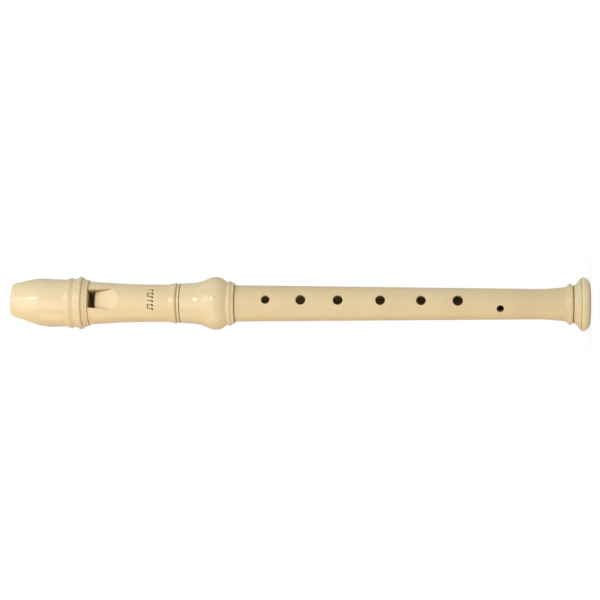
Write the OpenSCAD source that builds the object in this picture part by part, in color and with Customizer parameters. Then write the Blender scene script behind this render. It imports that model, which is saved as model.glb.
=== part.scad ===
// Soprano recorder in two sections, injection moulded.
// The head joint is a tube with a beak cap, a windway block and a socket sleeve fitted to it.
// The body is a one-piece tube with its tone holes, with a bell ring fitted to its foot.
// Frame: Z runs up the bore from the bell's end face to the beak. The window and the finger
// holes face -Y, and the little finger's hole is turned towards -X. Millimetres.

/* [Heights above the bell's end face] */
// Tip of the beak
tip_z = 330; // [329:0.5:332]
// Exit of the windway, which is also the edge of the beak cap
window_z = 285.85; // [284.5:0.05:287]
// Top edge of the socket sleeve
seam_z = 233; // [231:0.5:235]
// Shoulder on which the head joint stands
joint_z = 201.85; // [201:0.05:202]
// Joint between the foot bead and the bell ring
bell_z = 9.4; // [9.2:0.1:9.6]

/* [Bore] */
// Radius of the head's cylindrical bore
head_bore_r = 6.7; // [6.5:0.05:6.8]
// Radius of the body's bore at the tenon
body_bore_top_r = 6.6; // [6.4:0.05:6.7]
// Radius of the body's bore at the foot
foot_bore_r = 5.0; // [4.8:0.05:5.3]
// Length of the straight bore at the foot
foot_bore_len = 13.6; // [10:0.1:20]

/* [Tenon joint] */
// Radius of the tenon
tenon_r = 8.9; // [8.8:0.05:8.95]
// Length of the tenon
tenon_len = 16; // [15:0.5:17]
// Radial clearance of the socket over the tenon
socket_clear = 0.08; // [0.06:0.01:0.1]
// Section radius of each sealing ring
seal_r = 0.55; // [0.5:0.01:0.58]
// Radial clearance on each side of a sealing ring
seal_clear = 0.03; // [0.02:0.01:0.04]

/* [Windway and window] */
// Width of the windway
windway_w = 10; // [9:0.1:10.4]
// Height of the windway at its exit
windway_exit_h = 1.05; // [0.9:0.05:1.2]
// Height of the windway at the tip
windway_entry_h = 1.3; // [1.1:0.05:1.4]
// Rise of the windway's floor from the exit to the tip
windway_rise = 2.1; // [1.8:0.1:2.2]
// Radius of the windway's flat arch at its exit
windway_arch_r = 20; // [16:1:26]
// Distance from the windway's exit to the labium edge
cut_up = 3.9; // [3.5:0.1:4.3]
// Height of the labium edge above the bore
labium_t = 0.35; // [0.3:0.05:0.5]
// Slope of the labium ramp in degrees
ramp_angle = 16.7; // [16:0.1:18]
// Lean of the recess's side walls in degrees
recess_draft = 3.3; // [2:0.1:5]
// Fan of the recess's side walls in degrees
recess_fan = 3.5; // [2:0.1:4.5]

/* [Beak] */
// Radius of the hollow cut across the back of the beak
beak_cut_r = 33; // [32.6:0.1:33.2]
// Wall between that cut and the inside of the cap
beak_wall = 1.5; // [1.3:0.1:1.6]

/* [Tone holes] */
// Heights of the seven front holes, from the first finger's to the little finger's
hole_z = [183.9, 163.9, 142.7, 118.6, 95.5, 74.7, 50.7];
// Diameters of the same holes
hole_d = [4.9, 5.7, 5.6, 5.6, 5.5, 5.9, 4.2];
// Turn of the little finger's hole towards the player's right, in degrees
little_finger_turn = 32; // [24:1:36]
// Height of the thumb hole on the back
thumb_z = 191.5; // [190:0.5:193]
// Diameter of the thumb hole
thumb_d = 5.2; // [4.8:0.1:5.6]

/* [Hidden] */
$fn = 96;
gap = 0.04;          // glue gap between pieces that are fixed to each other
past = 1;            // how far a cutting tool runs past the surface it cuts
labium_z = window_z - cut_up;
tenon_z = joint_z + tenon_len;
socket_r = tenon_r + socket_clear;
socket_z = tenon_z + 0.6;
mouth_z = joint_z + 0.15;
spigot_end_z = 322;  // top of the head tube and of the block, inside the cap
bell_spigot_r = 8.1;
bell_spigot_z = 2.4;
sleeve_bottom_r = 10.35;
sleeve_top_r = 9.9;
cap_bottom_r = 11.4;
cap_top_r = 10.9;
beak_cut_y = 26.1;   // axis of the beak's hollow, behind the bore
beak_cut_z = tip_z + 0.5;
arch_back = windway_arch_r - head_bore_r;  // axis of the windway's arch, behind the bore
ramp_flare = 68;     // half angle of the cone that shapes the ramp
undercut_len = 10;   // length over which the bore side of the labium fades into the bore
seal_zs = [joint_z + 5, joint_z + 11];
groove_r = socket_r - 2 * seal_r - 2 * seal_clear;
groove_half = 0.8;
rim_chamfer = 0.25;  // on the outer rims of the tone holes
ivory_cap = "#F5DAB1";
ivory_head = "#EFD5AC";
ivory_body = "#E3CC9F";
rubber = "#3A3632";

// Points on a circular arc about centre c, from angle a0 to angle a1
function arc(c, r, a0, a1, n = 8) =
    [for (i = [0:n]) let (a = a0 + (a1 - a0) * i / n) [c[0] + r * cos(a), c[1] + r * sin(a)]];

// Points on a cubic curve from p to s, shaped by the handles q and t
function curve(p, q, t, s, n = 10) =
    [for (i = [0:n]) let (u = i / n, v = 1 - u)
        p * pow(v, 3) + q * (3 * v * v * u) + t * (3 * v * u * u) + s * pow(u, 3)];

// Radius at height z of a straight taper through (r0, z0) and (r1, z1)
function taper(r0, z0, r1, z1, z) = r0 + (r1 - r0) * (z - z0) / (z1 - z0);
function floor_r(z) = taper(head_bore_r, window_z, head_bore_r + windway_rise, tip_z, z);
function roof_r(z) = floor_r(z) + taper(windway_exit_h, window_z, windway_entry_h, tip_z, z);
function spigot_r(z) = taper(cap_bottom_r, window_z, cap_top_r, spigot_end_z, z);
function tube_r(z) = taper(8.66, 31, 10.36, joint_z - 4, z);
function sleeve_r(z) = taper(sleeve_bottom_r, joint_z, sleeve_top_r, seam_z, z);

// A round taper from height z0 to z1
module cone(r0, z0, r1, z1) {
    translate([0, 0, z0]) cylinder(r1 = r0, r2 = r1, h = z1 - z0);
}

// A taper with the windway's flat arch in front, for radii measured from the bore's axis
module arched(r0, z0, r1, z1) {
    translate([0, arch_back, 0]) cone(r0 + arch_back, z0, r1 + arch_back, z1);
}

// The cylinder, lying across the bore, that hollows the back of the beak
module beak_hollow(extra = 0) {
    translate([-20, beak_cut_y, beak_cut_z]) rotate([0, 90, 0]) cylinder(r = beak_cut_r + extra, h = 40);
}

// Everything in front of the bore within the windway's width
module windway_slab(z0, z1, side_gap = 0) {
    w = windway_w - 2 * side_gap;
    translate([-w / 2, -15, z0]) cube([w, 15 - 4.3, z1 - z0]);
}

// The space that the windway's roof bounds, from height z0 to z1
module windway_void(z0, z1) {
    intersection() {
        arched(roof_r(z0), z0, roof_r(z1), z1);
        windway_slab(z0, z1);
    }
}

// The solid that the windway's floor bounds
module windway_floor(z0, z1, side_gap = 0) {
    intersection() {
        arched(floor_r(z0), z0, floor_r(z1), z1);
        windway_slab(z0, z1, side_gap);
    }
}

// The cone whose top line is the ramp and whose section at the labium edge follows the arch
module ramp_cone() {
    back = (windway_arch_r + labium_t) / tan(ramp_flare);
    length = 40;
    translate([0, -head_bore_r - labium_t + back * sin(ramp_angle), labium_z + back * cos(ramp_angle)])
        rotate([180 + ramp_flare - ramp_angle, 0, 0])
            cylinder(r1 = 0, r2 = length * tan(ramp_flare), h = length);
}

// Everything inboard of one side wall of the recess, which leans outwards and fans open below
module inboard(side) {
    reach = 40;
    translate([side * windway_w / 2, -head_bore_r, window_z])
        rotate([0, -side * recess_fan, 0]) rotate([0, 0, side * recess_draft])
            translate([side > 0 ? -reach : 0, -reach / 2, -reach]) cube([reach, reach, 2 * reach]);
}

// The hollow in the bore under the labium, which gives the labium an even edge
module labium_undercut() {
    half_w = windway_w / 2;
    side_y = sqrt(pow(head_bore_r, 2) - pow(half_w, 2));
    end_r = sqrt(pow(side_y + arch_back, 2) + pow(half_w, 2)) - arch_back;
    intersection() {
        arched(end_r, labium_z - undercut_len, head_bore_r, labium_z);
        windway_slab(labium_z - undercut_len, labium_z + past);
    }
}

// The window through the wall, and the recess above the ramp
module window_cut() {
    foot_z = labium_z - 17;
    difference() {
        intersection() {
            inboard(1);
            inboard(-1);
            translate([-15, -20, foot_z]) cube([30, 20 - 4.3, window_z - foot_z]);
        }
        intersection() {
            ramp_cone();
            translate([-15, -25, foot_z - past]) cube([30, 40, labium_z - foot_z + past]);
        }
    }
}

// One hole through the wall, turned about the bore, with a chamfered rim
module tone_hole(z, d, turn) {
    rim_y = tube_r(z) - rim_chamfer;
    rotate([0, 0, turn]) translate([0, 0, z]) rotate([90, 0, 0]) rotate_extrude()
        polygon([[0, 0], [d / 2, 0], [d / 2, rim_y], [d / 2 + 2, rim_y + 2], [0, rim_y + 2]]);
}

module body_tube() {
    outline = concat(
        [[foot_bore_r, bell_spigot_z], [bell_spigot_r, bell_spigot_z]],
        [[bell_spigot_r, bell_z], [10.35, bell_z]],
        arc([10.15, bell_z + 1.7], 1.57, -74, 72, 10),
        curve([10.36, bell_z + 3.4], [9.98, 13.2], [9.68, 13.9], [9.52, 15.2], 6),
        curve([9.42, 16.4], [8.98, 21], [8.6, 24.8], [tube_r(31), 31], 10),
        [[tube_r(joint_z - 4), joint_z - 4]],
        [[10.5, joint_z - 0.4], [10.35, joint_z], [tenon_r, joint_z]],
        [for (z = seal_zs) each [
            [tenon_r, z - groove_half], [groove_r, z - groove_half],
            [groove_r, z + groove_half], [tenon_r, z + groove_half]
        ]],
        [[tenon_r, tenon_z - 0.5], [tenon_r - 0.4, tenon_z], [body_bore_top_r, tenon_z],
         [foot_bore_r, bell_spigot_z + foot_bore_len]]
    );
    color(ivory_body) difference() {
        rotate_extrude() polygon(outline);
        for (i = [0:6]) tone_hole(hole_z[i], hole_d[i], i == 6 ? -little_finger_turn : 0);
        tone_hole(thumb_z, thumb_d, 180);
    }
}

module bell_ring() {
    outline = concat(
        [[bell_spigot_r + gap, bell_z - 0.05], [bell_spigot_r + gap, bell_spigot_z - 0.05],
         [6.4, bell_spigot_z - 0.05]],
        curve([6.4, 1.6], [7.4, 0.7], [8.6, 0.1], [10.2, 0], 6),
        curve([11.1, 0], [12.1, 0], [15.1, 1.15], [15.36, 3.4], 12),
        curve([15.36, 3.4], [15.36, 4.2], [15.08, 4.78], [14.45, 5.05], 6),
        [[14.15, 5.15], [14.15, 5.3]],
        curve([14.33, 5.4], [14.15, 5.95], [13.4, 6.1], [12.88, 6.6], 6),
        curve([12.88, 6.6], [12.1, 7.3], [11, 7.8], [10.78, bell_z - 0.35], 8),
        [[10.35, bell_z - 0.05]]
    );
    color(ivory_cap) rotate_extrude() polygon(outline);
}

module tenon_seals() {
    major = socket_r - seal_clear - seal_r;
    color(rubber) for (z = seal_zs)
        translate([0, 0, z]) rotate_extrude() translate([major, 0]) circle(r = seal_r, $fn = 48);
}

module head_tube() {
    outline = concat(
        [[socket_r + 0.4, mouth_z], [sleeve_r(mouth_z), mouth_z],
         [sleeve_r(seam_z), seam_z + 0.05], [11.05, seam_z + 0.05]],
        [[11.38, seam_z + 0.3], [11.4, seam_z + 0.75], [11.16, seam_z + 1.15], [11.14, seam_z + 1.6]],
        arc([10.9, seam_z + 3.05], 0.8, -70, 60, 8),
        [[11.3, seam_z + 4.25], [11.2, seam_z + 4.6], [11, seam_z + 6.1], [10.75, seam_z + 6.3]],
        curve([10.7, seam_z + 7], [10.62, seam_z + 17], [10.85, seam_z + 26], [11, seam_z + 30], 8),
        curve([11, seam_z + 30], [11.35, seam_z + 38], [11.8, seam_z + 45], [12.35, window_z - 0.5], 8),
        [[12.35, window_z - 0.15], [spigot_r(window_z), window_z - 0.15]],
        [[spigot_r(spigot_end_z), spigot_end_z], [head_bore_r, spigot_end_z], [head_bore_r, socket_z],
         [socket_r, socket_z], [socket_r, mouth_z + 0.4]]
    );
    color(ivory_head) difference() {
        rotate_extrude() polygon(outline);
        windway_void(window_z - past, spigot_end_z + past);
        window_cut();
        labium_undercut();
        beak_hollow(beak_wall + gap);
    }
}

module windway_block() {
    block_r = head_bore_r - gap;
    chamfer = 0.4;
    color(ivory_head) difference() {
        union() {
            translate([0, 0, window_z]) cylinder(r = block_r, h = spigot_end_z - window_z);
            windway_floor(window_z, spigot_end_z, gap);
        }
        // chamfer on the windway's exit
        difference() {
            translate([-windway_w, -head_bore_r - past, window_z - past])
                cube([2 * windway_w, head_bore_r - 3.5, chamfer + past]);
            arched(head_bore_r - chamfer, window_z, head_bore_r, window_z + chamfer);
            arched(head_bore_r - chamfer, window_z - 2 * past, head_bore_r - chamfer, window_z + past);
        }
        beak_hollow(beak_wall + gap);
    }
}

module beak_cap() {
    edge = window_z;
    tip = tip_z;
    cavity_z = spigot_end_z + gap;
    outline = concat(
        [[0, edge - 0.1], [12.95, edge - 0.1], [13.2, edge + 0.12], [13.26, edge + 0.4]],
        [[13.2, edge + 0.7], [13.02, edge + 0.9]],
        curve([13.16, edge + 1.15], [13.42, edge + 1.55], [13.75, edge + 2.2], [14.1, edge + 3.02], 5),
        [[14.1, edge + 3.16]],
        arc([13.66, edge + 4.73], 1.44, -64, 60, 10),
        curve([14.42, edge + 6.65], [14.2, edge + 7.05], [13.9, edge + 7.55], [13.7, edge + 8.05], 5),
        arc([13.5, edge + 10.3], 0.98, -50, 52, 8),
        curve([13.9, edge + 11.85], [13.7, edge + 12.35], [13.45, edge + 12.85], [13.42, edge + 13.65], 6),
        curve([13.42, edge + 13.65], [13.61, edge + 17.65], [13.78, edge + 22.65], [14.05, tip - 17.5], 10),
        curve([14.05, tip - 17.5], [14.1, tip - 13.5], [13.2, tip - 9], [12.44, tip - 4], 12),
        curve([12.44, tip - 4], [12.2, tip - 2], [11.95, tip], [10, tip], 8),
        [[0, tip]]
    );
    color(ivory_cap) difference() {
        rotate_extrude() polygon(outline);
        beak_hollow();
        difference() {
            cone(spigot_r(edge - past) + gap, edge - past, spigot_r(spigot_end_z) + gap, cavity_z);
            beak_hollow(beak_wall);
        }
        difference() {
            windway_void(spigot_end_z - past, tip_z + past);
            windway_floor(spigot_end_z - 2 * past, tip_z + 2 * past);
        }
    }
}

module socket_sleeve() {
    waist_z = mouth_z + 14.1;  // where the bulb turns into the sleeve's slope
    outline = concat(
        [[sleeve_r(mouth_z) + gap, mouth_z], [11.5, mouth_z], [11.75, mouth_z + 0.3],
         [12, mouth_z + 1.5], [12.14, mouth_z + 1.78]],
        arc([12.15, mouth_z + 2.85], 0.8, -58, 62, 8),
        [[12.4, mouth_z + 3.9], [12.34, mouth_z + 4.35]],
        curve([12.4, mouth_z + 4.7], [13, mouth_z + 5.6], [13.9, mouth_z + 6.3], [14.4, mouth_z + 7.5], 8),
        curve([14.4, mouth_z + 7.5], [15.33, mouth_z + 9.3], [15.38, mouth_z + 12], [14.5, waist_z], 12),
        curve([14.5, waist_z], [13.3, mouth_z + 17], [12.12, mouth_z + 18.7], [11.66, mouth_z + 24.2], 14),
        [[11.38, seam_z - 1.6], [11.25, seam_z - 0.3], [11, seam_z], [sleeve_r(seam_z) + gap, seam_z]]
    );
    color(ivory_cap) rotate_extrude() polygon(outline);
}

body_tube();
bell_ring();
tenon_seals();
head_tube();
windway_block();
beak_cap();
socket_sleeve();
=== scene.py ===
"""A two-section moulded plastic soprano recorder, standing on its bell.

Z runs up the bore, and -Y is the front, with the window and the finger holes. Lengths on the instrument are
in millimetres until a mesh is made, and its heights come from the frame. Materials and the studio are in
metres.
"""
import math

import bmesh
import bpy
from mathutils import Matrix, Vector


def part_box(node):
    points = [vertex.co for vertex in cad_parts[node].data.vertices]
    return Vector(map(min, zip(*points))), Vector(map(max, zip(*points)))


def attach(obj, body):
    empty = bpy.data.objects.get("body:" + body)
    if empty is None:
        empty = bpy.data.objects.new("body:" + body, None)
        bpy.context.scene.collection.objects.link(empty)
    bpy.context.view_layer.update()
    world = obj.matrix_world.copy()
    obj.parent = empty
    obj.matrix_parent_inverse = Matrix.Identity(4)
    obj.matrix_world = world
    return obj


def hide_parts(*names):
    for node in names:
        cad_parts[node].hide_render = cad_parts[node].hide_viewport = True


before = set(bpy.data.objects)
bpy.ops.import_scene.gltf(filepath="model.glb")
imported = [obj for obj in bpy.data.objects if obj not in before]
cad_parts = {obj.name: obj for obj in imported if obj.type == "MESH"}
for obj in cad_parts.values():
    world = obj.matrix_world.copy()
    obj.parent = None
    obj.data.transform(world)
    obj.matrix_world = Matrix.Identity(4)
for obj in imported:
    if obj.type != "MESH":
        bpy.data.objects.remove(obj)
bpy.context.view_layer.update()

MM = 0.001
SIDES = 192
SHARP = math.radians(35)
CORNER = math.radians(25)


def height(node, corner):
    """The height of a CAD node's lowest (0) or highest (1) corner."""
    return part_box(node)[corner].z / MM


# Heights of the seams and ends
TIP = height("beak_cap", 1)
CAP_EDGE = height("beak_cap", 0)
SPIGOT_END = height("head_tube", 1)
SEAM = height("socket_sleeve", 1)
MOUTH = height("socket_sleeve", 0)
TENON_END = height("body_tube", 1)
TENON_LENGTH = 16.0
SHOULDER = TENON_END - TENON_LENGTH
BELL_TOP = height("bell_ring", 1)
SPIGOT_LOW = height("body_tube", 0)
WINDOW = CAP_EDGE + 0.1

# The bore, and the tapers of the tube's outside between the waist and the top
BORE_R = 6.7
BORE_TOP_R = 6.6
FOOT_R = 5.0
FOOT_STRAIGHT = 13.6
WAIST_R = 8.66
WAIST_Z = 31
TUBE_TOP_R = 10.36
TUBE_TOP = SHOULDER - 4

# The tenon, its socket and the grooves for the seals
TENON_R = 8.9
SOCKET_R = 8.98
SOCKET_END = TENON_END + 0.6
GROOVE_R = 7.82
GROOVE_HALF = 0.8
SEAL_HEIGHTS = (SHOULDER + 5, SHOULDER + 11)

# The windway, the labium, and the recess above the labium's ramp
WINDWAY_HALF = 5.0
WINDWAY_FLOOR = -4.3
WINDWAY_ARCH_R = 20.0
ARCH_BACK = WINDWAY_ARCH_R - BORE_R
UNDERCUT = 10.0
CUT_UP = 3.9
LABIUM = WINDOW - CUT_UP
LABIUM_T = 0.35
LABIUM_BEVEL = 0.25
RAMP_ANGLE = math.radians(16.7)
RAMP_FLARE = math.radians(68)
RECESS_DRAFT = math.tan(math.radians(3.3))
RECESS_FAN = math.tan(math.radians(3.5))
RECESS_LENGTH = 17
RECESS_MIDDLE_Y = -9
IN_FRONT = -16.0

# The beak: the cylinder that hollows its back, and its wall
BEAK_CUT_R = 33.0
BEAK_CUT_Y = 26.1
BEAK_CUT_Z = TIP + 0.5
BEAK_WALL = 1.5
BEAK_ROUNDING = 1.2
CAVITY_ROUNDING = 0.3
NO_CUT = 100.0

# The glue gap between pieces that are fixed to each other
GAP = 0.04

# Height, diameter and turn in degrees of each tone hole, with the thumb hole last
HOLES = (
    (183.9, 4.9, 0), (163.9, 5.7, 0), (142.7, 5.6, 0), (118.6, 5.6, 0),
    (95.5, 5.5, 0), (74.7, 5.9, 0), (50.7, 4.2, -32), (191.5, 5.2, 180),
)


# ---------------------------------------------------------------- outlines

def taper(r0, z0, r1, z1, z):
    """The radius at height z on a straight taper through (r0, z0) and (r1, z1)."""
    return r0 + (r1 - r0) * (z - z0) / (z1 - z0)


def tube_r(z):
    """The body's outside."""
    return taper(WAIST_R, WAIST_Z, TUBE_TOP_R, TUBE_TOP, z)


def bore_r(z):
    """The body's bore."""
    return taper(FOOT_R, SPIGOT_LOW + FOOT_STRAIGHT, BORE_TOP_R, TENON_END, z)


def floor_r(z):
    """The windway's floor."""
    return taper(BORE_R, WINDOW, BORE_R + 2.1, TIP, z)


def roof_r(z):
    """The windway's roof."""
    return floor_r(z) + taper(1.05, WINDOW, 1.3, TIP, z)


def arch_y(r, x):
    """The windway's flat arch at a distance x from the middle, for a radius from the bore's axis."""
    return ARCH_BACK - math.sqrt((r + ARCH_BACK) ** 2 - x * x)


def spigot_r(z):
    """The head tube's spigot inside the cap."""
    return taper(11.4, WINDOW, 10.9, SPIGOT_END, z)


def sleeve_r(z):
    """The head tube inside the sleeve."""
    return taper(10.35, SHOULDER, 9.9, SEAM, z)


def arc(centre, radius, start, end, steps=12):
    """Points on a circular arc, with angles in degrees."""
    angles = [math.radians(start + (end - start) * i / steps) for i in range(steps + 1)]
    return [(centre[0] + radius * math.cos(a), centre[1] + radius * math.sin(a)) for a in angles]


def curve(p, q, t, s, steps=16):
    """Points on a cubic curve from p to s, shaped by the handles q and t."""
    points = []
    for i in range(steps + 1):
        u = i / steps
        v = 1 - u
        weights = (v ** 3, 3 * v * v * u, 3 * v * u * u, u ** 3)
        points.append(tuple(sum(w * c[k] for w, c in zip(weights, (p, q, t, s))) for k in (0, 1)))
    return points


def soften(points, radius, closed=True, steps=4):
    """Rounds every corner of an outline that turns by more than CORNER."""
    points = [p for i, p in enumerate(points) if math.dist(p, points[i - 1]) > 1e-4]
    out = []
    for i, p in enumerate(points):
        if not closed and i in (0, len(points) - 1):
            out.append(p)
            continue
        before = Vector(points[i - 1]) - Vector(p)
        after = Vector(points[(i + 1) % len(points)]) - Vector(p)
        if (-before).angle(after) < CORNER:
            out.append(p)
            continue
        start = Vector(p) + before.normalized() * min(radius, 0.45 * before.length)
        end = Vector(p) + after.normalized() * min(radius, 0.45 * after.length)
        for k in range(steps + 1):
            u = k / steps
            out.append(tuple(start * (1 - u) ** 2 + Vector(p) * 2 * u * (1 - u) + end * u * u))
    return out


# ---------------------------------------------------------------- meshes

def finish_mesh(name, verts, faces):
    """A smooth-shaded object from vertices in millimetres."""
    mesh = bpy.data.meshes.new(name)
    mesh.from_pydata([(x * MM, y * MM, z * MM) for x, y, z in verts], [], faces)
    bm = bmesh.new()
    bm.from_mesh(mesh)
    bmesh.ops.delete(bm, geom=[v for v in bm.verts if not v.link_faces], context="VERTS")
    bmesh.ops.recalc_face_normals(bm, faces=bm.faces)
    bm.to_mesh(mesh)
    bm.free()
    piece = bpy.data.objects.new(name, mesh)
    bpy.context.scene.collection.objects.link(piece)
    shade(piece)
    return piece


def shade(piece):
    """Smooth shading that stops at sharp edges."""
    mesh = piece.data
    mesh.shade_smooth()
    mesh.set_sharp_from_angle(angle=SHARP)


def weigh_normals(piece):
    """Shades large faces flat and leaves the bending of light to the roundings."""
    weighted = piece.modifiers.new("weighted normals", "WEIGHTED_NORMAL")
    weighted.keep_sharp = True
    weighted.weight = 80


def revolve(outline, sides=SIDES):
    """Vertices and faces of a closed outline turned about Z. Vertex (k, i) is number k * sides + i."""
    turns = [(math.cos(2 * math.pi * i / sides), math.sin(2 * math.pi * i / sides)) for i in range(sides)]
    verts = [(r * c, r * s, z) for r, z in outline for c, s in turns]
    faces = {}
    for k in range(len(outline)):
        k1 = (k + 1) % len(outline)
        for i in range(sides):
            i1 = (i + 1) % sides
            faces[(k, i)] = (k * sides + i, k * sides + i1, k1 * sides + i1, k1 * sides + i)
    return verts, faces


def lathe(name, outline, rounding):
    """A piece made by turning a closed outline about Z."""
    verts, faces = revolve(soften(outline, rounding))
    piece = finish_mesh(name, verts, list(faces.values()))
    weigh_normals(piece)
    return piece


def bridge(faces, ring_a, ring_b):
    """Quads between two closed rings of vertex numbers."""
    n = len(ring_a)
    for m in range(n):
        m1 = (m + 1) % n
        faces.append((ring_a[m], ring_a[m1], ring_b[m1], ring_b[m]))


def stack(name, sections, columns):
    """A solid through closed sections, each of columns + 1 points one way and as many back again."""
    size = 2 * (columns + 1)
    verts = [point for section in sections for point in section]
    rings = [list(range(k * size, (k + 1) * size)) for k in range(len(sections))]
    faces = []
    for a, b in zip(rings, rings[1:]):
        bridge(faces, a, b)
    for ring in (rings[0], rings[-1]):
        for i in range(columns):
            faces.append((ring[i], ring[i + 1], ring[-2 - i], ring[-1 - i]))
    return finish_mesh(name, verts, faces)


def slab(name, z0, z1, low, high, columns=32, rows=12):
    """A solid of the windway's width, between y = low(x, z) and y = high(x, z), from z0 to z1."""
    xs = [WINDWAY_HALF * (2 * i / columns - 1) for i in range(columns + 1)]
    sections = []
    for j in range(rows + 1):
        z = z0 + (z1 - z0) * j / rows
        sections.append([(x, low(x, z), z) for x in xs] + [(x, high(x, z), z) for x in reversed(xs)])
    return stack(name, sections, columns)


def carve(piece, cutters):
    """Cuts the cutters out of the piece, and removes them."""
    for cutter in cutters:
        cut = piece.modifiers.new("cut", "BOOLEAN")
        cut.operation = "DIFFERENCE"
        cut.solver = "EXACT"
        cut.object = cutter
    carved = bpy.data.meshes.new_from_object(piece.evaluated_get(bpy.context.evaluated_depsgraph_get()))
    carved.name = piece.data.name
    piece.modifiers.clear()
    piece.data = carved
    for cutter in cutters:
        bpy.data.objects.remove(cutter)
    bm = bmesh.new()
    bm.from_mesh(carved)
    bmesh.ops.remove_doubles(bm, verts=bm.verts, dist=0.002 * MM)
    bmesh.ops.dissolve_degenerate(bm, edges=bm.edges, dist=0.001 * MM)
    bm.to_mesh(carved)
    bm.free()
    shade(piece)
    return piece


def cylinder_x(name, y, z, radius, half):
    """A cylinder lying along X."""
    sides = 360
    turns = [2 * math.pi * i / sides for i in range(sides)]
    rim = [(y + radius * math.cos(turn), z + radius * math.sin(turn)) for turn in turns]
    verts = [(side * half, *point) for side in (-1, 1) for point in rim]
    ring_a, ring_b = list(range(sides)), list(range(sides, 2 * sides))
    faces = [tuple(ring_a), tuple(ring_b)]
    bridge(faces, ring_a, ring_b)
    return finish_mesh(name, verts, faces)


# ---------------------------------------------------------------- body

# The grid of the body's outside: a hole takes up a block of it, this many rows and columns each way
BODY_SIDES = 128
ROW_STEP = 0.5
WIDE_ROWS = 4
BLOCK_ROWS = 9
BLOCK_COLUMNS = 13
LOWEST_ROW = 40.0
HIGHEST_ROW = SHOULDER - 4.35

# Rounding of each hole's outer rim
RIM = 0.32


def hole_rows():
    """Heights of the rows through the perforated stretch: close together at the holes and wider between."""
    count = round((HIGHEST_ROW - LOWEST_ROW) / ROW_STEP)
    rows = []
    for k in range(count + 1):
        z = LOWEST_ROW + ROW_STEP * k
        near = min(abs(z - hole[0]) for hole in HOLES) < (BLOCK_ROWS + 1.5) * ROW_STEP
        if near or k % WIDE_ROWS == 0:
            rows.append(z)
    return rows


def foot_outline():
    """The spigot in the bell, the foot bead and the flare above it, up to the waist."""
    points = [(FOOT_R, SPIGOT_LOW), (8.1, SPIGOT_LOW), (8.1, BELL_TOP + 0.05), (10.35, BELL_TOP + 0.05)]
    points += arc((10.15, BELL_TOP + 1.75), 1.57, -74, 72, 20)
    points += curve((10.36, BELL_TOP + 3.45), (9.98, 13.2), (9.68, 13.9), (9.52, 15.2), 8)
    return points + curve((9.42, 16.4), (8.98, 21), (8.6, 24.8), (WAIST_R, WAIST_Z), 20)


def tenon_outline():
    """The tube's top, the shoulder and the tenon with its grooves."""
    points = [(TUBE_TOP_R, TUBE_TOP), (10.5, SHOULDER - 0.4), (10.35, SHOULDER), (TENON_R, SHOULDER)]
    for z in SEAL_HEIGHTS:
        points += [(TENON_R, z - GROOVE_HALF), (GROOVE_R, z - GROOVE_HALF)]
        points += [(GROOVE_R, z + GROOVE_HALF), (TENON_R, z + GROOVE_HALF)]
    return points + [(TENON_R, TENON_END - 0.5), (TENON_R - 0.4, TENON_END), (BORE_TOP_R, TENON_END)]


def body_outline(rows):
    """The closed outline, and where the rows of the outside and of the bore are in it."""
    foot, top = soften(foot_outline(), 0.1), soften(tenon_outline(), 0.1)
    outside = [(tube_r(z), z) for z in rows]
    inside = [(bore_r(z), z) for z in reversed(rows)]
    straight = [(FOOT_R, SPIGOT_LOW + FOOT_STRAIGHT)]
    outline = foot + outside + top + inside + straight
    first = len(foot)
    last = len(foot) + len(outside) + len(top) + len(rows) - 1
    return outline, [first + j for j in range(len(rows))], [last - j for j in range(len(rows))]


def block_edge(row, column):
    """The (row, column) pairs round the block of the grid that a hole takes up."""
    r0, r1 = row - BLOCK_ROWS, row + BLOCK_ROWS
    c0, c1 = column - BLOCK_COLUMNS, column + BLOCK_COLUMNS
    edge = [(r0, c) for c in range(c0, c1)]
    edge += [(r, c1) for r in range(r0, r1)]
    edge += [(r1, c) for c in range(c1, c0, -1)]
    edge += [(r, c0) for r in range(r1, r0, -1)]
    return edge


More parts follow.
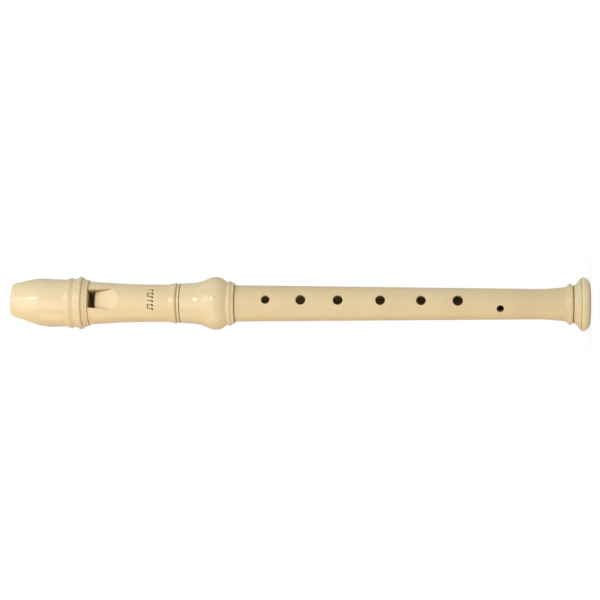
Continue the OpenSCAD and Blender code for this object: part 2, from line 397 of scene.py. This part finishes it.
def open_hole(verts, faces, dropped, rows, outer_k, inner_k, hole):
    """Opens one round hole, with a rounded rim, through the outside and the bore of the grid.

    The faces of the hole's block are dropped, and rings of faces lead from the block's edge on the outside,
    round the rim and through the wall, to the block's edge on the bore.
    """
    z0, diameter, turn = hole
    radius = diameter / 2
    angle = math.radians(270 + turn)
    along = Vector((math.cos(angle), math.sin(angle)))
    across = Vector((-math.sin(angle), math.cos(angle)))
    column = round(angle / (2 * math.pi) * BODY_SIDES)
    row = min(range(len(rows)), key=lambda j: abs(rows[j] - z0))
    for r in range(row - BLOCK_ROWS, row + BLOCK_ROWS):
        for c in range(column - BLOCK_COLUMNS, column + BLOCK_COLUMNS):
            dropped.add((outer_k[r], c % BODY_SIDES))
            dropped.add((inner_k[r + 1], c % BODY_SIDES))
    edge = block_edge(row, column)

    def ring(points):
        start = len(verts)
        verts.extend(points)
        return list(range(start, start + len(points)))

    # w runs across the hole at a right angle to the bore, and v up from its centre
    def on_surface(w, z, surface, depth=0.0):
        out = math.sqrt(surface(z) ** 2 - w * w) - depth
        p = along * out + across * w
        return (p.x, p.y, z)

    def flat(number):
        x, y, z = verts[number]
        return across.dot(Vector((x, y))), z - z0

    def circle_ring(angles, rho, surface, depth=0.0):
        return ring([on_surface(rho * math.cos(a), z0 + rho * math.sin(a), surface, depth) for a in angles])

    def blend_rings(border, angles, rho, surface, shares):
        rings = []
        for share in shares:
            points = []
            for number, a in zip(border, angles):
                w, v = flat(number)
                w += (rho * math.cos(a) - w) * share
                v += (rho * math.sin(a) - v) * share
                points.append(on_surface(w, z0 + v, surface))
            rings.append(ring(points))
        return rings

    outer = [outer_k[r] * BODY_SIDES + c % BODY_SIDES for r, c in edge]
    inner = [inner_k[r] * BODY_SIDES + c % BODY_SIDES for r, c in edge]
    angles = [math.atan2(v, w) for w, v in (flat(n) for n in outer)]
    rings = [outer] + blend_rings(outer, angles, radius + RIM, tube_r, (0.3, 0.6, 0.85))
    for bend in range(0, 91, 18):
        sine, cosine = math.sin(math.radians(bend)), math.cos(math.radians(bend))
        rings.append(circle_ring(angles, radius + RIM * (1 - sine), tube_r, RIM * (1 - cosine)))
    top, bottom = rings[-1], circle_ring(angles, radius, bore_r)
    for share in (0.35, 0.7):
        rings.append(ring([
            tuple(a + (b - a) * share for a, b in zip(verts[t], verts[u])) for t, u in zip(top, bottom)
        ]))
    rings += [bottom] + list(reversed(blend_rings(inner, angles, radius, bore_r, (0.35, 0.7)))) + [inner]
    for a, b in zip(rings, rings[1:]):
        bridge(faces, a, b)


def make_body():
    """The body's tube, turned from its outline, with its tone holes."""
    rows = hole_rows()
    outline, outer_k, inner_k = body_outline(rows)
    verts, grid = revolve(outline, BODY_SIDES)
    dropped, faces = set(), []
    for hole in HOLES:
        open_hole(verts, faces, dropped, rows, outer_k, inner_k, hole)
    faces += [face for place, face in grid.items() if place not in dropped]
    piece = finish_mesh("body_shell", verts, faces)
    weigh_normals(piece)
    return piece


def make_bell():
    """The bell, from the spigot's seat round the rim to the seam."""
    outline = [(8.14, BELL_TOP), (8.14, SPIGOT_LOW - 0.05), (6.4, SPIGOT_LOW - 0.05)]
    outline += curve((6.4, 1.6), (7.4, 0.7), (8.6, 0.1), (10.2, 0), 12)
    outline += curve((11.1, 0), (12.1, 0), (15.1, 1.15), (15.36, 3.4), 24)
    outline += curve((15.36, 3.4), (15.36, 4.2), (15.08, 4.78), (14.45, 5.05), 14)
    outline += [(14.15, 5.12), (14.13, 5.3)]
    outline += curve((14.33, 5.4), (14.15, 5.95), (13.4, 6.1), (12.88, 6.6), 14)
    outline += curve((12.88, 6.6), (12.1, 7.3), (11, 7.8), (10.76, BELL_TOP - 0.12), 14)
    outline += [(10.4, BELL_TOP)]
    return lathe("bell_flare", outline, 0.08)


# ---------------------------------------------------------------- head

def ramp_cone():
    """The ramp's surface y(x, z): a cone that starts with the windway's arch at the labium."""
    back = (WINDWAY_ARCH_R + LABIUM_T) / math.tan(RAMP_FLARE)
    apex_y = -BORE_R - LABIUM_T + back * math.sin(RAMP_ANGLE)
    apex_z = LABIUM + back * math.cos(RAMP_ANGLE)
    axis_y = math.sin(RAMP_FLARE - RAMP_ANGLE)
    axis_z = -math.cos(RAMP_FLARE - RAMP_ANGLE)
    k = math.cos(RAMP_FLARE) ** 2

    def ramp_y(x, z):
        dz = z - apex_z
        a = axis_y ** 2 - k
        b = 2 * axis_y * axis_z * dz
        c = (axis_z ** 2 - k) * dz ** 2 - k * x * x
        root = math.sqrt(max(b * b - 4 * a * c, 0))
        return apex_y + (-b + root) / (2 * a)

    return ramp_y


def recess_half(y, z):
    """Half the recess's width, which grows towards the front and down the ramp."""
    return WINDWAY_HALF + RECESS_DRAFT * (-y - BORE_R) + RECESS_FAN * (WINDOW - z)


def window_cutter(columns=48, rows=40):
    """The window and the recess above the ramp."""
    ramp_y = ramp_cone()

    def floor_y(u, z):
        if z > LABIUM:
            return WINDWAY_FLOOR
        bevel = LABIUM_BEVEL if z == LABIUM else 0
        return ramp_y(u * recess_half(RECESS_MIDDLE_Y, z), z) + bevel

    start, end = LABIUM - RECESS_LENGTH, LABIUM - LABIUM_BEVEL
    heights = [start + (end - start) * j / rows for j in range(rows + 1)]
    heights += [LABIUM, LABIUM + 1e-3, WINDOW]
    across = [2 * i / columns - 1 for i in range(columns + 1)]
    sections = []
    for z in heights:
        floor = [(u, floor_y(u, z)) for u in across]
        floor = [(u * recess_half(y, z), y, z) for u, y in floor]
        front = [(-u * recess_half(IN_FRONT, z), IN_FRONT, z) for u in across]
        sections.append(floor + front)
    return stack("window_cutter", sections, columns)


def undercut_cutter():
    """The hollow in the bore under the labium, which gives the labium an even edge."""
    start = LABIUM - UNDERCUT
    side_y = math.sqrt(BORE_R ** 2 - WINDWAY_HALF ** 2)
    start_r = math.hypot(side_y + ARCH_BACK, WINDWAY_HALF) - ARCH_BACK
    return slab(
        "undercut_cutter", start, LABIUM + 0.5,
        lambda x, z: arch_y(taper(start_r, start, BORE_R, LABIUM, z), x),
        lambda x, z: WINDWAY_FLOOR,
    )


HEAD_NECK = curve((10.7, SEAM + 7), (10.62, SEAM + 17), (10.85, SEAM + 26), (11, SEAM + 30), 24)


def head_outline():
    """The head tube: the part in the sleeve, the rings at the seam, the neck, the spigot and the socket."""
    outline = [(SOCKET_R + 0.4, MOUTH), (sleeve_r(MOUTH), MOUTH)]
    outline += [(sleeve_r(SEAM), SEAM + 0.25), (11.2, SEAM + 0.25)]
    outline += [(11.38, SEAM + 0.42), (11.42, SEAM + 0.9), (11.25, SEAM + 1.55), (10.85, SEAM + 1.65)]
    outline += [(10.85, SEAM + 2.08), (11.12, SEAM + 2.18)]
    outline += arc((10.9, SEAM + 3.05), 0.8, -70, 60, 14)
    outline += [(11.3, SEAM + 4.25), (11.2, SEAM + 4.6), (11, SEAM + 6.1), (10.75, SEAM + 6.3)]
    outline += HEAD_NECK
    outline += curve((11, SEAM + 30), (11.35, SEAM + 38), (11.8, SEAM + 45), (12.35, WINDOW - 0.5), 40)
    outline += [(12.35, WINDOW - 0.15), (spigot_r(WINDOW), WINDOW - 0.15)]
    outline += [(spigot_r(SPIGOT_END), SPIGOT_END), (BORE_R, SPIGOT_END)]
    return outline + [(BORE_R, SOCKET_END), (SOCKET_R, SOCKET_END), (SOCKET_R, MOUTH + 0.4)]


def make_head():
    """The head tube, with its windway, window, labium and the hollow behind the beak."""
    verts, faces = revolve(soften(head_outline(), 0.1))
    piece = finish_mesh("head_shell", verts, list(faces.values()))
    windway = slab(
        "windway_cutter", WINDOW - 1, SPIGOT_END + 1,
        lambda x, z: arch_y(roof_r(z), x), lambda x, z: WINDWAY_FLOOR,
    )
    hollow = cylinder_x("hollow_cutter", BEAK_CUT_Y, BEAK_CUT_Z, BEAK_CUT_R + BEAK_WALL + GAP, 20)
    carve(piece, [windway, window_cutter(), undercut_cutter(), hollow])
    weigh_normals(piece)
    return piece


def make_sleeve():
    """The glossy bulb round the socket, with the ring at its lower edge."""
    outline = [(sleeve_r(MOUTH) + GAP, MOUTH), (11.5, MOUTH), (11.75, MOUTH + 0.3)]
    outline += [(12, MOUTH + 1.5), (12.14, MOUTH + 1.78)]
    outline += arc((12.15, MOUTH + 2.85), 0.8, -58, 62, 14)
    outline += [(12.4, MOUTH + 3.9), (12.34, MOUTH + 4.35)]
    shoulder = (14.4, MOUTH + 7.5)
    outline += curve((12.42, MOUTH + 4.7), (13.05, MOUTH + 5.6), (13.9, MOUTH + 6.3), shoulder, 14)
    top = (14.5, MOUTH + 14.1)
    outline += curve(shoulder, (15.33, MOUTH + 9.3), (15.38, MOUTH + 12), top, 28)
    outline += curve(top, (13.3, MOUTH + 17), (12.12, MOUTH + 18.7), (11.66, MOUTH + 24.2), 28)
    outline += [(11.38, SEAM - 1.6), (11.27, SEAM - 0.2), (11.17, SEAM - 0.06)]
    outline += [(sleeve_r(SEAM) + 0.5, SEAM - 0.06)]
    outline += [(sleeve_r(SEAM) + 0.45, SEAM), (sleeve_r(SEAM) + GAP, SEAM)]
    return lathe("socket_bulb", outline, 0.15)


def beak_cut(z, extra=0.0):
    """Where the hollow at the beak's back reaches at a height, or far behind where there is none."""
    radius = BEAK_CUT_R + extra
    rise = BEAK_CUT_Z - z
    if rise >= radius:
        return NO_CUT
    return BEAK_CUT_Y - math.sqrt(radius ** 2 - rise ** 2)


def soft_min(a, b, k):
    """The smaller of two numbers, blended where they differ by less than k."""
    h = max(k - abs(a - b), 0) / k
    return min(a, b) - h * h * k / 4


def beak_ring(r, z, extra, rounding, sides):
    """The section of the beak at a height: a circle whose back is cut off flat, with rounded corners."""
    cut = beak_cut(z, extra)
    centre = min(0.0, (cut - r) / 2)
    ring = []
    for i in range(sides):
        c, s = math.cos(2 * math.pi * i / sides), math.sin(2 * math.pi * i / sides)
        reach = -centre * s + math.sqrt(r * r - (centre * c) ** 2)
        if s > 0 and cut < NO_CUT:
            reach = soft_min(reach, (cut - centre) / s, rounding)
        ring.append((reach * c, centre + reach * s, z))
    return ring


def refine(points, step):
    """The same line with no step longer than a limit."""
    out = [points[0]]
    for p, q in zip(points, points[1:]):
        n = max(1, math.ceil(math.dist(p, q) / step))
        out += [tuple(a + (b - a) * i / n for a, b in zip(p, q)) for i in range(1, n + 1)]
    return out


def cap_outline():
    """The cap's outside, from its edge over the two rings to the tip."""
    edge = WINDOW
    outside = [(spigot_r(edge) + GAP, edge - 0.1), (12.95, edge - 0.1), (13.2, edge + 0.12)]
    outside += [(13.26, edge + 0.4), (13.2, edge + 0.7), (13.02, edge + 0.9)]
    slope = (14.1, edge + 3.02)
    outside += curve((13.16, edge + 1.15), (13.42, edge + 1.55), (13.75, edge + 2.2), slope, 10)
    outside += [(14.12, edge + 3.14), (13.94, edge + 3.2), (13.95, edge + 3.4)]
    outside += arc((13.66, edge + 4.73), 1.44, -64, 60, 16)
    hollow = (13.7, edge + 8.05)
    outside += curve((14.42, edge + 6.65), (14.2, edge + 7.05), (13.9, edge + 7.55), hollow, 10)
    outside += arc((13.5, edge + 10.3), 0.98, -50, 52, 14)
    waist = (13.42, edge + 13.65)
    outside += curve((13.9, edge + 11.85), (13.7, edge + 12.35), (13.45, edge + 12.85), waist, 10)
    widest = (14.05, TIP - 17.5)
    outside += curve(waist, (13.61, edge + 17.65), (13.78, edge + 22.65), widest, 16)
    outside += curve(widest, (14.1, TIP - 13.5), (13.2, TIP - 9), (12.44, TIP - 4), 24)
    return outside + curve((12.44, TIP - 4), (12.2, TIP - 2), (11.95, TIP), (10, TIP), 16)


def make_cap(sides=256, step=0.5):
    """The mouthpiece shell round the spigot, with the beak's hollow back and the windway's slot."""
    cavity_end = SPIGOT_END + GAP
    cavity = [(spigot_r(cavity_end) + GAP, cavity_end), (spigot_r(WINDOW) + GAP, WINDOW - 0.1)]
    outside = refine(soften(cap_outline(), 0.12, closed=False), step)
    inside = refine(cavity, step)[:-1]
    verts, faces = [], []
    for r, z in outside:
        verts += beak_ring(r, z, 0.0, BEAK_ROUNDING, sides)
    for r, z in inside:
        verts += beak_ring(r, z, BEAK_WALL, CAVITY_ROUNDING, sides)
    rings = [list(range(k * sides, (k + 1) * sides)) for k in range(len(outside) + len(inside))]
    outer, inner = rings[:len(outside)], rings[len(outside):]
    for a, b in zip(outer, outer[1:]):
        bridge(faces, a, b)
    for a, b in zip(inner, inner[1:]):
        bridge(faces, a, b)
    bridge(faces, inner[-1], outer[0])
    for ring in (outer[-1], inner[0]):
        middle = [sum(verts[n][k] for n in ring) / sides for k in range(3)]
        verts.append(tuple(middle))
        faces += [(ring[i], ring[(i + 1) % sides], len(verts) - 1) for i in range(sides)]
    piece = finish_mesh("beak_shell", verts, faces)
    slot = slab(
        "slot_cutter", cavity_end - 1, TIP + 1,
        lambda x, z: arch_y(roof_r(z), x), lambda x, z: arch_y(floor_r(z), x),
    )
    carve(piece, [slot])
    weigh_normals(piece)
    return piece


# ---------------------------------------------------------------- printed mark

# Positions on the mark are an arc length round the tube, s, and a height above MARK_Z, t
MARK_Z = SEAM + 16.6
MARK_PROUD = 0.02
MARK_DEPTH = 0.05
NOTE_HEAD = (0.72, 0.5)
NOTE_LEAN = math.radians(22)
NOTE_T = -1.2
STEM_W = 0.34
STEM_TOP = 1.75
BEAM_W = 0.55
NOTE_GROUPS = ((-5.9, -3.7), (-1.4,), (0.9, 3.1), (5.4,))


def neck_r(z):
    """The head tube's outside where the mark is printed."""
    for (r0, z0), (r1, z1) in zip(HEAD_NECK, HEAD_NECK[1:]):
        if z <= z1:
            return taper(r0, z0, r1, z1, z)
    return HEAD_NECK[-1][0]


def stamp(verts, faces, place, columns, rows, proud):
    """A thin closed solid on the tube. place turns u and v, each from -1 to 1, into s and t."""
    first = len(verts)

    def number(layer, i, j):
        return first + (layer * (rows + 1) + j) * (columns + 1) + i

    for depth in (proud, -MARK_DEPTH):
        for j in range(rows + 1):
            for i in range(columns + 1):
                s, t = place(2 * i / columns - 1, 2 * j / rows - 1)
                r = neck_r(MARK_Z + t) + depth
                turn = s / neck_r(MARK_Z)
                verts.append((r * math.sin(turn), -r * math.cos(turn), MARK_Z + t))
    for layer in (0, 1):
        for j in range(rows):
            for i in range(columns):
                corners = ((i, j), (i + 1, j), (i + 1, j + 1), (i, j + 1))
                faces.append(tuple(number(layer, *corner) for corner in corners))
    border = [(i, 0) for i in range(columns)] + [(columns, j) for j in range(rows)]
    border += [(i, rows) for i in range(columns, 0, -1)] + [(0, j) for j in range(rows, 0, -1)]
    bridge(faces, [number(0, *spot) for spot in border], [number(1, *spot) for spot in border])


def oval(s, t):
    """Places a grid as a leaning oval round (s, t)."""
    cosine, sine = math.cos(NOTE_LEAN), math.sin(NOTE_LEAN)

    def place(u, v):
        a = NOTE_HEAD[0] * u * math.sqrt(1 - v * v / 2)
        b = NOTE_HEAD[1] * v * math.sqrt(1 - u * u / 2)
        return s + a * cosine - b * sine, t + a * sine + b * cosine
    return place


def stem(s):
    """Places a grid as an upright stem at s."""
    def place(u, v):
        return s + v * STEM_W / 2, NOTE_T + (STEM_TOP - NOTE_T) * (u + 1) / 2
    return place


def beam(s0, s1):
    """Places a grid as a beam along the tops of the stems, from s0 to s1."""
    def place(u, v):
        return s0 + (s1 - s0) * (u + 1) / 2, STEM_TOP - BEAM_W / 2 + v * BEAM_W / 2
    return place


def make_mark():
    """A row of plain notes, in place of the printed name."""
    verts, faces = [], []
    stem_side = NOTE_HEAD[0] * math.cos(NOTE_LEAN) - STEM_W / 2
    for group in NOTE_GROUPS:
        for s in group:
            stamp(verts, faces, oval(s, NOTE_T), 10, 8, MARK_PROUD)
            stamp(verts, faces, stem(s + stem_side), 8, 2, MARK_PROUD * 0.9)
        if len(group) > 1:
            start = group[0] + stem_side - STEM_W / 2
            end = group[-1] + stem_side + STEM_W / 2
            stamp(verts, faces, beam(start, end), 10, 2, MARK_PROUD * 0.8)
    return finish_mesh("printed_notes", verts, faces)


# ---------------------------------------------------------------- materials

IVORY_GLOSS = (0.835, 0.675, 0.412)
IVORY_SATIN = (0.83, 0.665, 0.394)
# The satin ivory made a little darker: painted shade for the light that falls off down the body
IVORY_BODY_SHADED = (0.80, 0.641, 0.379)
IVORY_BELL = (0.832, 0.708, 0.436)

# Painted shade in deep hollows such as the holes, and painted shade with brown dirt in the narrow seams and
# creases
HOLLOW_REACH = 0.012
HOLLOW_SHADE_TONE = (0.15, 0.088, 0.036, 1)
SEAM_REACH = 0.0012
SEAM_SHADE_AND_DIRT = (0.62, 0.42, 0.22, 1)
EDGE_ROUNDING = 0.00012

# Faces farther than this from the bore's axis are on the outside
OUTSIDE_R = 9.36


def new_material(name):
    """An empty node material, with its nodes and links."""
    material = bpy.data.materials.new(name)
    material.use_nodes = True
    return material, material.node_tree.nodes, material.node_tree.links


def add(nodes, kind, inputs=None, **settings):
    """A node with some of its settings and inputs given."""
    node = nodes.new("ShaderNode" + kind)
    for key, value in settings.items():
        setattr(node, key, value)
    for key, value in (inputs or {}).items():
        node.inputs[key].default_value = value
    return node


def noise(nodes, links, place, scale, detail, roughness):
    """A noise texture that is fixed to the object."""
    texture = add(nodes, "TexNoise", {"Scale": scale, "Detail": detail, "Roughness": roughness})
    links.new(place.outputs["Object"], texture.inputs["Vector"])
    return texture


def spread(nodes, links, value, ends, start, end):
    """Maps the part of a value between two ends to the range from start to end."""
    limits = {"From Min": ends[0], "From Max": ends[1], "To Min": start, "To Max": end}
    mapped = add(nodes, "MapRange", limits)
    links.new(value, mapped.inputs["Value"])
    return mapped.outputs["Result"]


def drifting_colour(nodes, links, place, tint):
    """A tint that drifts slowly between a paler and a deeper one."""
    pale = [min(c * 1.035, 1) for c in tint]
    deep = [c * k for c, k in zip(tint, (0.965, 0.95, 0.92))]
    ramp = add(nodes, "ValToRGB")
    for stop, position, colour in zip(ramp.color_ramp.elements, (0.35, 0.68), (deep, pale)):
        stop.position = position
        stop.color = (*colour, 1)
    links.new(noise(nodes, links, place, 38, 3, 0.5).outputs["Fac"], ramp.inputs["Fac"])
    return ramp.outputs["Color"]


def shaded_recess(nodes, links, colour, reach, ends, tone):
    """Multiplies a colour by a tone where the surfaces within reach hide a point."""
    hidden = add(nodes, "AmbientOcclusion", {"Distance": reach}, samples=8)
    mix = add(nodes, "Mix", data_type="RGBA", blend_type="MULTIPLY")
    mix.inputs["B"].default_value = tone
    links.new(spread(nodes, links, hidden.outputs["AO"], ends, 0.0, 1.0), mix.inputs["Factor"])
    links.new(colour, mix.inputs["A"])
    return mix.outputs["Result"]


def moulded_abs(name, tint, gloss, grain):
    """Ivory ABS: drifting colour, painted shade in the recesses with brown dirt in the seams, uneven polish
    and a fine moulded surface.
    """
    material, nodes, links = new_material(name)
    shader = nodes["Principled BSDF"]
    shader.inputs["IOR"].default_value = 1.53
    shader.inputs["Subsurface Weight"].default_value = 0.12
    shader.inputs["Subsurface Radius"].default_value = (1.0, 0.55, 0.25)
    shader.inputs["Subsurface Scale"].default_value = 0.0012
    place = add(nodes, "TexCoord")
    colour = drifting_colour(nodes, links, place, tint)
    # Painted shade: dark brown where nearby surfaces hide a point, in the holes, the bore and the window
    colour = shaded_recess(nodes, links, colour, HOLLOW_REACH, (0.44, 0.12), HOLLOW_SHADE_TONE)
    # Painted shade in narrow creases and seams, brown like the dirt that gathers in the seams
    colour = shaded_recess(nodes, links, colour, SEAM_REACH, (0.9, 0.45), SEAM_SHADE_AND_DIRT)
    links.new(colour, shader.inputs["Base Color"])
    flecks = noise(nodes, links, place, 900, 2, 0.6)
    polish = spread(nodes, links, flecks.outputs["Fac"], (0.3, 0.7), gloss - 0.035, gloss + 0.045)
    links.new(polish, shader.inputs["Roughness"])
    skin = noise(nodes, links, place, 3200, 3, 0.65)
    edge = add(nodes, "Bevel", {"Radius": EDGE_ROUNDING}, samples=4)
    bump = add(nodes, "Bump", {"Strength": grain, "Distance": 0.00003})
    links.new(skin.outputs["Fac"], bump.inputs["Height"])
    links.new(edge.outputs["Normal"], bump.inputs["Normal"])
    links.new(bump.outputs["Normal"], shader.inputs["Normal"])
    return material


def seal_rubber():
    """Black rubber with a thin film of grease."""
    material, nodes, links = new_material("seal_rubber")
    shader = nodes["Principled BSDF"]
    shader.inputs["Base Color"].default_value = (0.018, 0.017, 0.016, 1)
    film = noise(nodes, links, add(nodes, "TexCoord"), 700, 4, 0.6)
    bump = add(nodes, "Bump", {"Strength": 0.3, "Distance": 0.00004})
    grease = spread(nodes, links, film.outputs["Fac"], (0.3, 0.7), 0.22, 0.5)
    links.new(film.outputs["Fac"], bump.inputs["Height"])
    links.new(grease, shader.inputs["Roughness"])
    links.new(bump.outputs["Normal"], shader.inputs["Normal"])
    return material


def printing_ink():
    """Matt dark ink, a little uneven where it was pressed on."""
    material, nodes, links = new_material("printing_ink")
    shader = nodes["Principled BSDF"]
    blots = noise(nodes, links, add(nodes, "TexCoord"), 2500, 3, 0.6)
    colour = add(nodes, "ValToRGB")
    colour.color_ramp.elements[0].color = (0.022, 0.017, 0.007, 1)
    colour.color_ramp.elements[1].color = (0.05, 0.04, 0.018, 1)
    bump = add(nodes, "Bump", {"Strength": 0.2, "Distance": 0.00001})
    matt = spread(nodes, links, blots.outputs["Fac"], (0.3, 0.7), 0.4, 0.6)
    links.new(blots.outputs["Fac"], colour.inputs["Fac"])
    links.new(blots.outputs["Fac"], bump.inputs["Height"])
    links.new(colour.outputs["Color"], shader.inputs["Base Color"])
    links.new(matt, shader.inputs["Roughness"])
    links.new(bump.outputs["Normal"], shader.inputs["Normal"])
    return material


def dress(piece, material):
    """Gives a piece its only material."""
    piece.data.materials.clear()
    piece.data.materials.append(material)


def polish_band(piece, material, low, high):
    """Gives the outside between two heights another material."""
    piece.data.materials.append(material)
    for face in piece.data.polygons:
        x, y, z = face.center / MM
        if low < z < high and math.hypot(x, y) > OUTSIDE_R:
            face.material_index = 1


gloss_abs = moulded_abs("ivory_gloss", IVORY_GLOSS, 0.19, 0.10)
bell_abs = moulded_abs("ivory_bell", IVORY_BELL, 0.17, 0.10)
sheen_abs = moulded_abs("ivory_sheen", IVORY_SATIN, 0.25, 0.2)
satin_abs = moulded_abs("ivory_satin", IVORY_SATIN, 0.38, 0.35)
body_abs = moulded_abs("ivory_body", IVORY_BODY_SHADED, 0.38, 0.35)
rubber = seal_rubber()
ink = printing_ink()

PIECES = (
    (make_body(), "body", "body_tube", body_abs, "abs_satin"),
    (make_bell(), "body", "bell_ring", bell_abs, "abs_gloss"),
    (make_head(), "head", "head_tube", satin_abs, "abs_satin"),
    (make_sleeve(), "head", "socket_sleeve", gloss_abs, "abs_gloss"),
    (make_cap(), "head", "beak_cap", gloss_abs, "abs_gloss"),
)
for piece, body, node, material, slot in PIECES:
    dress(piece, material)
    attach(piece, body)
    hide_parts(node)
polish_band(bpy.data.objects["body_shell"], sheen_abs, 0, BELL_TOP + 3.9)
polish_band(bpy.data.objects["head_shell"], sheen_abs, SEAM, SEAM + 6.2)
mark = make_mark()
dress(mark, ink)
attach(mark, "head")
dress(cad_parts["windway_block"], satin_abs)
dress(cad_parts["tenon_seals"], rubber)


# ---------------------------------------------------------------- studio

# The camera looks at the instrument lying across the picture, with the head to the left
CAMERA_DISTANCE = 1.244
CAMERA_AZIMUTH = math.radians(-13.5)
CAMERA_TILT = math.radians(-3.5)
CAMERA_ROLL = math.radians(-0.14)
AIM_HEIGHT = 0.16464
AIM_RISE = 0.00205
LENS = 130.5
SENSOR = 36

# The room's light, from below to above in the picture
ROOM_LIGHT = 0.53
ROOM_ENDS = (-0.8, 0.8)
WARM_BELOW = (1.13, 0.98, 0.85, 1)
COOL_ABOVE = (0.76, 0.89, 0.97, 1)
LOW_TONE = (1, 0.78, 0.5)
WHITE = (1, 1, 1)
HEAD_HEIGHT = 0.255

FLOOR_HALF = 4000
FLOOR_DROP = 0.00002
FLOOR_BOUNCE = 0.85
CONTACT_REACH = 0.03
CONTACT_SHADE = 0.8


def look(position, target, up):
    """A rotation that looks from position to target, with up upwards in the picture."""
    back = (position - target).normalized()
    right = up.cross(back).normalized()
    true_up = back.cross(right)
    rows = [[right[i], true_up[i], back[i]] for i in range(3)]
    return Matrix(rows).to_quaternion()


def make_camera():
    """Makes the camera. Gives what it looks at, the direction to it, and what is up in the picture."""
    outward = Vector((math.sin(CAMERA_AZIMUTH), -math.cos(CAMERA_AZIMUTH), 0))
    direction = outward * math.cos(CAMERA_TILT) + Vector((0, 0, math.sin(CAMERA_TILT)))
    picture_up = Vector((math.cos(CAMERA_AZIMUTH), math.sin(CAMERA_AZIMUTH), 0))
    target = Vector((0, 0, AIM_HEIGHT)) + picture_up * AIM_RISE
    position = target + direction * CAMERA_DISTANCE
    picture_left = direction.cross(picture_up) * -1
    rolled_up = picture_up * math.cos(CAMERA_ROLL) + picture_left * math.sin(CAMERA_ROLL)
    data = bpy.data.cameras.new("camera")
    data.lens = LENS
    data.sensor_width = SENSOR
    camera = bpy.data.objects.new("camera", data)
    camera.rotation_mode = "QUATERNION"
    camera.location = position
    camera.rotation_quaternion = look(position, target, rolled_up)
    bpy.context.scene.collection.objects.link(camera)
    bpy.context.scene.camera = camera
    return target, direction, picture_up


def softbox(name, target, direction, distance, width, height, power, tone=WHITE):
    """A soft rectangular light that faces the target from a direction."""
    data = bpy.data.lights.new(name, "AREA")
    data.shape = "RECTANGLE"
    data.size = width
    data.size_y = height
    data.energy = power
    data.color = tone
    light = bpy.data.objects.new(name, data)
    light.location = target + direction.normalized() * distance
    light.rotation_mode = "QUATERNION"
    light.rotation_quaternion = look(light.location, target, Vector((0, 0, 1)))
    light.visible_camera = False
    bpy.context.scene.collection.objects.link(light)


def toward(direction, picture_up, left, up):
    """A direction that many degrees to the picture's left and upwards from the view."""
    left, up = math.radians(left), math.radians(up)
    out = direction * math.cos(left) * math.cos(up)
    return out + Vector((0, 0, 1)) * math.sin(left) * math.cos(up) + picture_up * math.sin(up)


def make_lights(target, direction, picture_up):
    """Two soft lights from the left, a warm one from below, and a small one for the highlights."""
    head = Vector((0, 0, HEAD_HEIGHT))
    left = toward(direction, picture_up, 62, 16)
    near = toward(direction, picture_up, 30, -8)
    low = toward(direction, picture_up, 15, -70)
    high = toward(direction, picture_up, 30, 20)
    softbox("left_box", target, left, distance=1.0, width=0.45, height=0.45, power=1.6)
    softbox("near_box", head, near, distance=0.4, width=0.3, height=0.3, power=0.42)
    softbox("low_box", target, low, distance=1.4, width=0.8, height=0.5, power=2.6, tone=LOW_TONE)
    softbox("glint", target, high, distance=1.8, width=0.3, height=0.3, power=5.2)


def make_room(picture_up):
    """A white room to the camera, and for light one that is warm below and cool above in the picture."""
    world = bpy.data.worlds.new("white_room")
    world.use_nodes = True
    nodes, links = world.node_tree.nodes, world.node_tree.links
    room = nodes["Background"]
    room.inputs["Strength"].default_value = ROOM_LIGHT
    ray = add(nodes, "TexCoord")
    rise = add(nodes, "VectorMath", operation="DOT_PRODUCT")
    rise.inputs[1].default_value = picture_up
    blend = add(nodes, "Mix", data_type="RGBA")
    blend.inputs["A"].default_value = WARM_BELOW
    blend.inputs["B"].default_value = COOL_ABOVE
    links.new(ray.outputs["Generated"], rise.inputs[0])
    level = spread(nodes, links, rise.outputs["Value"], ROOM_ENDS, 0.0, 1.0)
    links.new(level, blend.inputs["Factor"])
    links.new(blend.outputs["Result"], room.inputs["Color"])
    seen = add(nodes, "Background", {"Color": (*WHITE, 1), "Strength": 1.0})
    show_camera(nodes, links, room.outputs[0], seen.outputs[0], nodes["World Output"])
    bpy.context.scene.world = world
    bpy.context.scene.view_settings.view_transform = "Standard"


def show_camera(nodes, links, lighting, seen, output):
    """Uses one shader for the light it gives and another for what the camera sees."""
    path = add(nodes, "LightPath")
    mix = add(nodes, "MixShader")
    links.new(path.outputs["Is Camera Ray"], mix.inputs[0])
    links.new(lighting, mix.inputs[1])
    links.new(seen, mix.inputs[2])
    links.new(mix.outputs[0], output.inputs["Surface"])


def make_floor():
    """A plain pale floor just under the bell, seen as white with a soft contact shadow."""
    corners = [(x * FLOOR_HALF, y * FLOOR_HALF, 0) for x, y in ((-1, -1), (1, -1), (1, 1), (-1, 1))]
    floor = finish_mesh("floor", corners, [(0, 1, 2, 3)])
    floor.location.z = -FLOOR_DROP
    floor.visible_shadow = False
    material, nodes, links = new_material("pale_floor")
    shader = nodes["Principled BSDF"]
    shader.inputs["Base Color"].default_value = (FLOOR_BOUNCE, FLOOR_BOUNCE, FLOOR_BOUNCE, 1)
    shader.inputs["Roughness"].default_value = 0.9
    shader.inputs["Specular IOR Level"].default_value = 0.1
    contact = add(nodes, "AmbientOcclusion", {"Distance": CONTACT_REACH}, samples=12)
    shadow = spread(nodes, links, contact.outputs["AO"], (0.0, 1.0), CONTACT_SHADE, 1.0)
    white = add(nodes, "Emission")
    links.new(shadow, white.inputs["Strength"])
    show_camera(nodes, links, shader.outputs[0], white.outputs[0], nodes["Material Output"])
    dress(floor, material)


aim, view, upward = make_camera()
make_lights(aim, view, upward)
make_room(upward)
make_floor()
